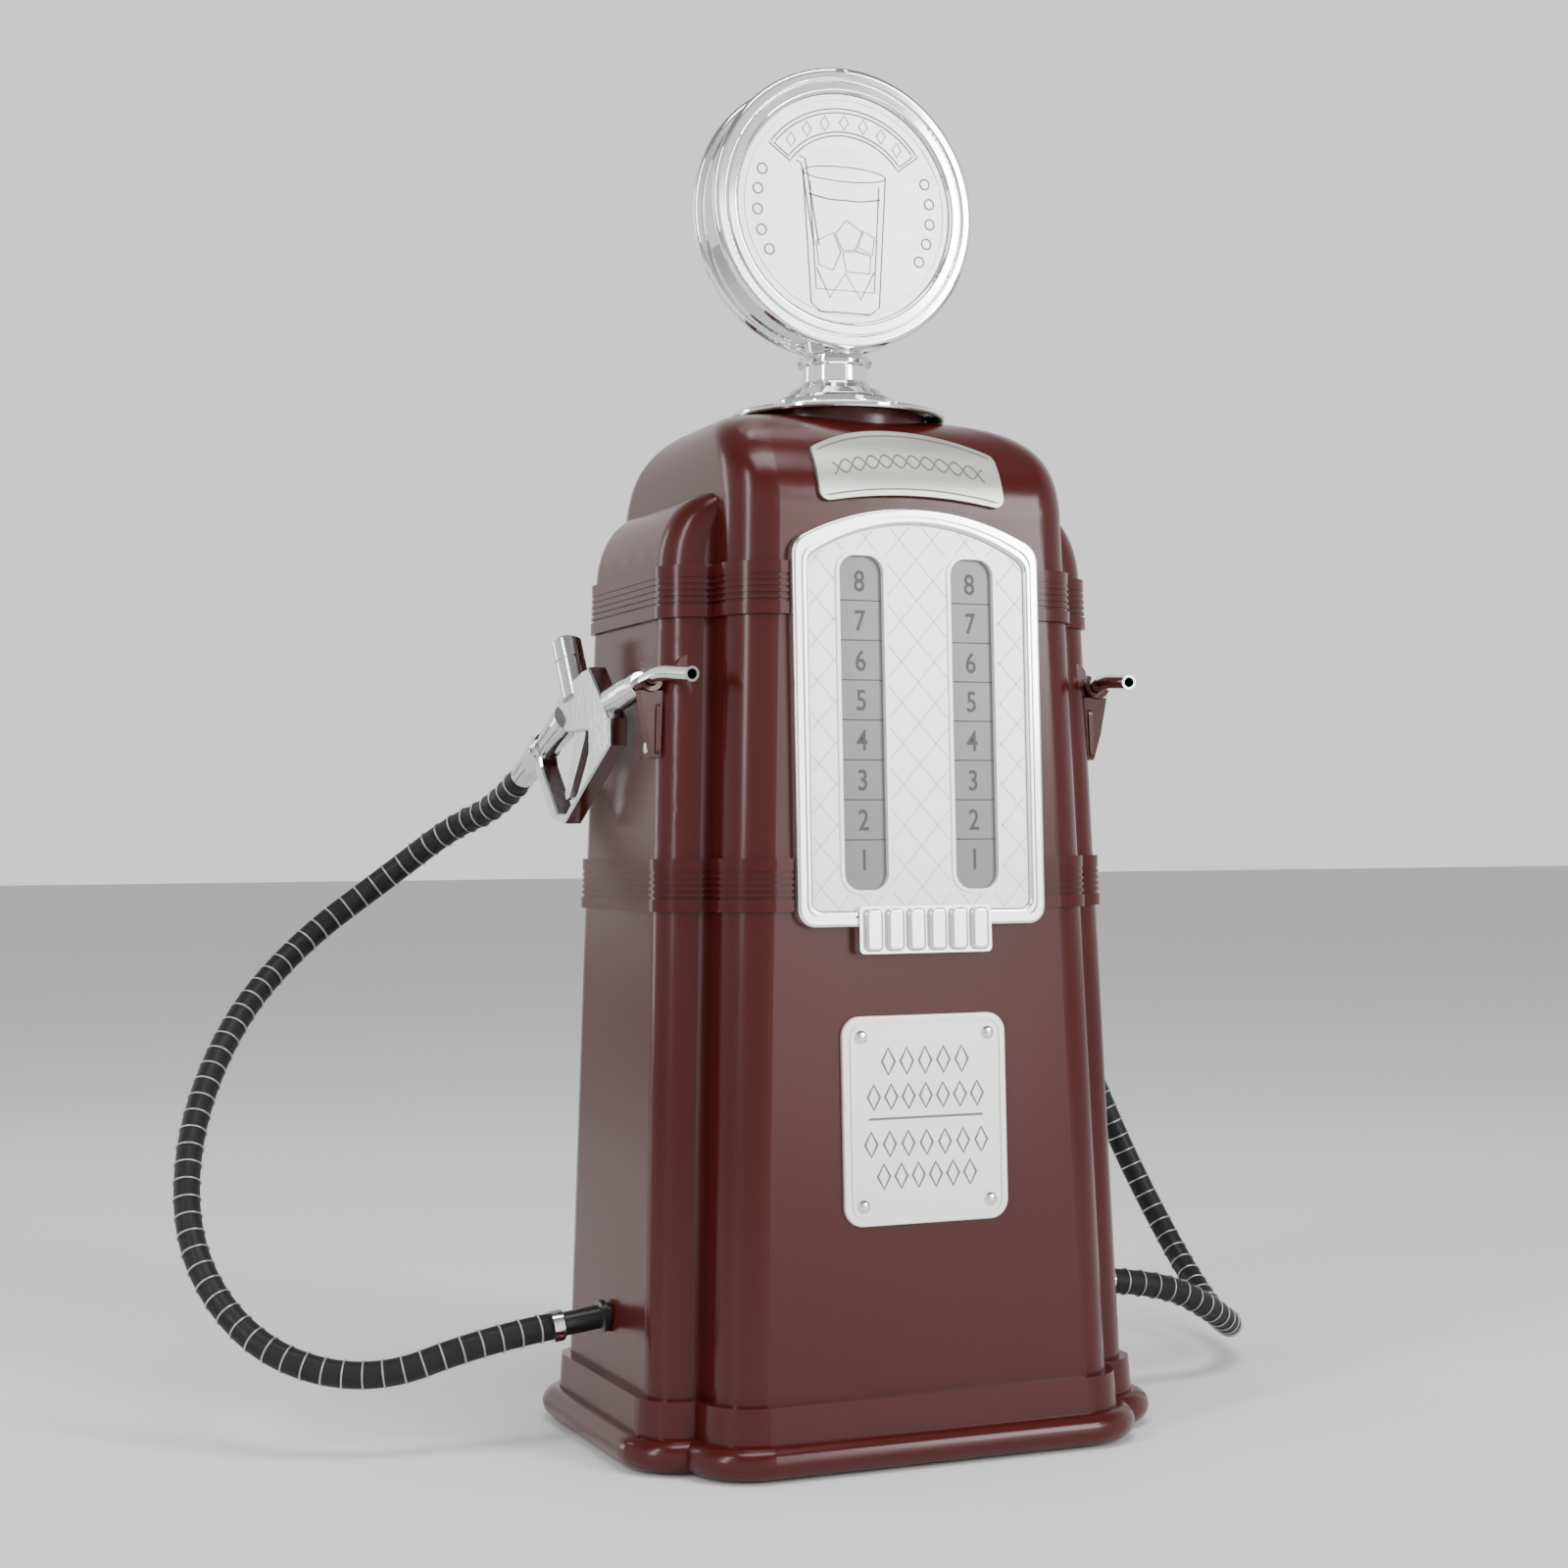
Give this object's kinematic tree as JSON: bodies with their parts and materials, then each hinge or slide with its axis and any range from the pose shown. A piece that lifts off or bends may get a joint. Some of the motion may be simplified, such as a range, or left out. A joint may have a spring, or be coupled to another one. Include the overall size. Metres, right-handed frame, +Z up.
{
  "type": "twin drinks dispenser",
  "caption": "Table-top twin drinks dispenser in the shape of an old petrol pump: round sign cap lifts off for filling, side nozzles on hoses lift from hooks, sprung triggers work valves.",
  "frame": {"origin": "centre of the footprint on the surface that the feet stand on, hoses left out", "axes": "+Z up, the front with the gauge panel faces -Y, +X to the right of a person facing the front"},
  "size_m": [0.4182, 0.2075, 0.4718],
  "materials": {
    "front_shell": "gloss",
    "rear_shell": "gloss",
    "base_plate": "matte",
    "base_screws": "satin",
    "rubber_feet": "matte",
    "seam_screws": "satin",
    "panel_frame": "polished",
    "gauge_panel": "satin, diamond quilted",
    "ribbed_tab": "polished",
    "gauge_strip_left": "satin",
    "gauge_strip_right": "satin",
    "name_plate": "satin",
    "plaque": "satin",
    "plaque_rivets": "polished",
    "filler_collar": "satin",
    "filler_funnel": "satin",
    "tank_left": "satin",
    "tank_right": "satin",
    "tank_lids": "satin",
    "tank_stand": "matte",
    "outlet_pipe_left": "satin",
    "outlet_pipe_right": "satin",
    "outlet_nuts": "satin",
    "hose_left": "gloss",
    "hose_right": "gloss",
    "hose_rings": "polished",
    "hook_left": "polished",
    "hook_right": "polished",
    "hook_screws": "polished",
    "sign_drum": "polished",
    "sign_bezel_front": "polished",
    "sign_bezel_rear": "polished",
    "sign_face_front": "satin",
    "sign_face_rear": "satin",
    "sign_neck": "polished",
    "sign_flange": "polished",
    "stopper_plug": "satin",
    "stopper_ring": "matte",
    "nozzle_outer_half_left": "polished",
    "nozzle_inner_half_left": "polished",
    "valve_cap_left": "polished",
    "spout_left": "polished",
    "spout_ferrule_left": "polished",
    "grip_tube_left": "polished",
    "trigger_pin_left": "satin",
    "valve_spring_left": "satin",
    "nozzle_screws_left": "satin",
    "trigger_left": "polished",
    "valve_stem_left": "satin",
    "nozzle_outer_half_right": "polished",
    "nozzle_inner_half_right": "polished",
    "valve_cap_right": "polished",
    "spout_right": "polished",
    "spout_ferrule_right": "polished",
    "grip_tube_right": "polished",
    "trigger_pin_right": "satin",
    "valve_spring_right": "satin",
    "nozzle_screws_right": "satin",
    "trigger_right": "polished",
    "valve_stem_right": "satin"
  },
  "bodies": {
    "dispenser": {"front_shell": "front_shell", "rear_shell": "rear_shell", "base_plate": "base_plate", "base_screws": "base_screws", "rubber_feet": "rubber_feet", "seam_screws": "seam_screws", "panel_frame": "panel_frame", "gauge_panel": "gauge_panel", "ribbed_tab": "ribbed_tab", "gauge_strip_left": "gauge_strip_left", "gauge_strip_right": "gauge_strip_right", "name_plate": "name_plate", "plaque": "plaque", "plaque_rivets": "plaque_rivets", "filler_collar": "filler_collar", "filler_funnel": "filler_funnel", "tank_left": "tank_left", "tank_right": "tank_right", "tank_lids": "tank_lids", "tank_stand": "tank_stand", "outlet_pipe_left": "outlet_pipe_left", "outlet_pipe_right": "outlet_pipe_right", "outlet_nuts": "outlet_nuts", "hose_left": "hose_left", "hose_right": "hose_right", "hose_rings": "hose_rings", "hook_left": "hook_left", "hook_right": "hook_right", "hook_screws": "hook_screws"},
    "sign_cap": {"sign_drum": "sign_drum", "sign_bezel_front": "sign_bezel_front", "sign_bezel_rear": "sign_bezel_rear", "sign_face_front": "sign_face_front", "sign_face_rear": "sign_face_rear", "sign_neck": "sign_neck", "sign_flange": "sign_flange", "stopper_plug": "stopper_plug", "stopper_ring": "stopper_ring"},
    "nozzle_left": {"nozzle_outer_half_left": "nozzle_outer_half_left", "nozzle_inner_half_left": "nozzle_inner_half_left", "valve_cap_left": "valve_cap_left", "spout_left": "spout_left", "spout_ferrule_left": "spout_ferrule_left", "grip_tube_left": "grip_tube_left", "trigger_pin_left": "trigger_pin_left", "valve_spring_left": "valve_spring_left", "nozzle_screws_left": "nozzle_screws_left"},
    "trigger_left": {"trigger_left": "trigger_left"},
    "valve_stem_left": {"valve_stem_left": "valve_stem_left"},
    "nozzle_right": {"nozzle_outer_half_right": "nozzle_outer_half_right", "nozzle_inner_half_right": "nozzle_inner_half_right", "valve_cap_right": "valve_cap_right", "spout_right": "spout_right", "spout_ferrule_right": "spout_ferrule_right", "grip_tube_right": "grip_tube_right", "trigger_pin_right": "trigger_pin_right", "valve_spring_right": "valve_spring_right", "nozzle_screws_right": "nozzle_screws_right"},
    "trigger_right": {"trigger_right": "trigger_right"},
    "valve_stem_right": {"valve_stem_right": "valve_stem_right"}
  },
  "joints": [
    {"name": "sign_cap_lift", "type": "slide", "parent": "dispenser", "child": "sign_cap", "axis": [0, 0, 1], "range_m": [0, 0.05]},
    {"name": "nozzle_left_lift", "type": "slide", "parent": "dispenser", "child": "nozzle_left", "axis": [-0.342, 0, 0.9397], "range_m": [0, 0.025]},
    {"name": "trigger_left_squeeze", "type": "hinge", "parent": "nozzle_left", "child": "trigger_left", "pos_m": [-0.08926, 0.00864, 0.2454], "axis": [0.991, 0.134, 0], "range_deg": [0, 12], "stiffness_Nm_per_rad": 0.02, "springref_deg": -20.05},
    {"name": "valve_stem_left_slide", "type": "slide", "parent": "nozzle_left", "child": "valve_stem_left", "axis": [-0.0559, 0.4131, 0.909], "range_m": [0, 0.0011], "deforming": ["valve_spring_left"]},
    {"name": "nozzle_right_lift", "type": "slide", "parent": "dispenser", "child": "nozzle_right", "axis": [0.342, 0, 0.9397], "range_m": [0, 0.025]},
    {"name": "trigger_right_squeeze", "type": "hinge", "parent": "nozzle_right", "child": "trigger_right", "pos_m": [0.08926, 0.00864, 0.2454], "axis": [0.991, -0.134, 0], "range_deg": [0, 12], "stiffness_Nm_per_rad": 0.02, "springref_deg": -20.05},
    {"name": "valve_stem_right_slide", "type": "slide", "parent": "nozzle_right", "child": "valve_stem_right", "axis": [0.0559, 0.4131, 0.909], "range_m": [0, 0.0011], "deforming": ["valve_spring_right"]}
  ],
  "couplings": [
    {"joint": "valve_stem_left_slide", "follows": "trigger_left_squeeze", "m_per_rad": 0.005},
    {"joint": "valve_stem_right_slide", "follows": "trigger_right_squeeze", "m_per_rad": 0.005}
  ]
}
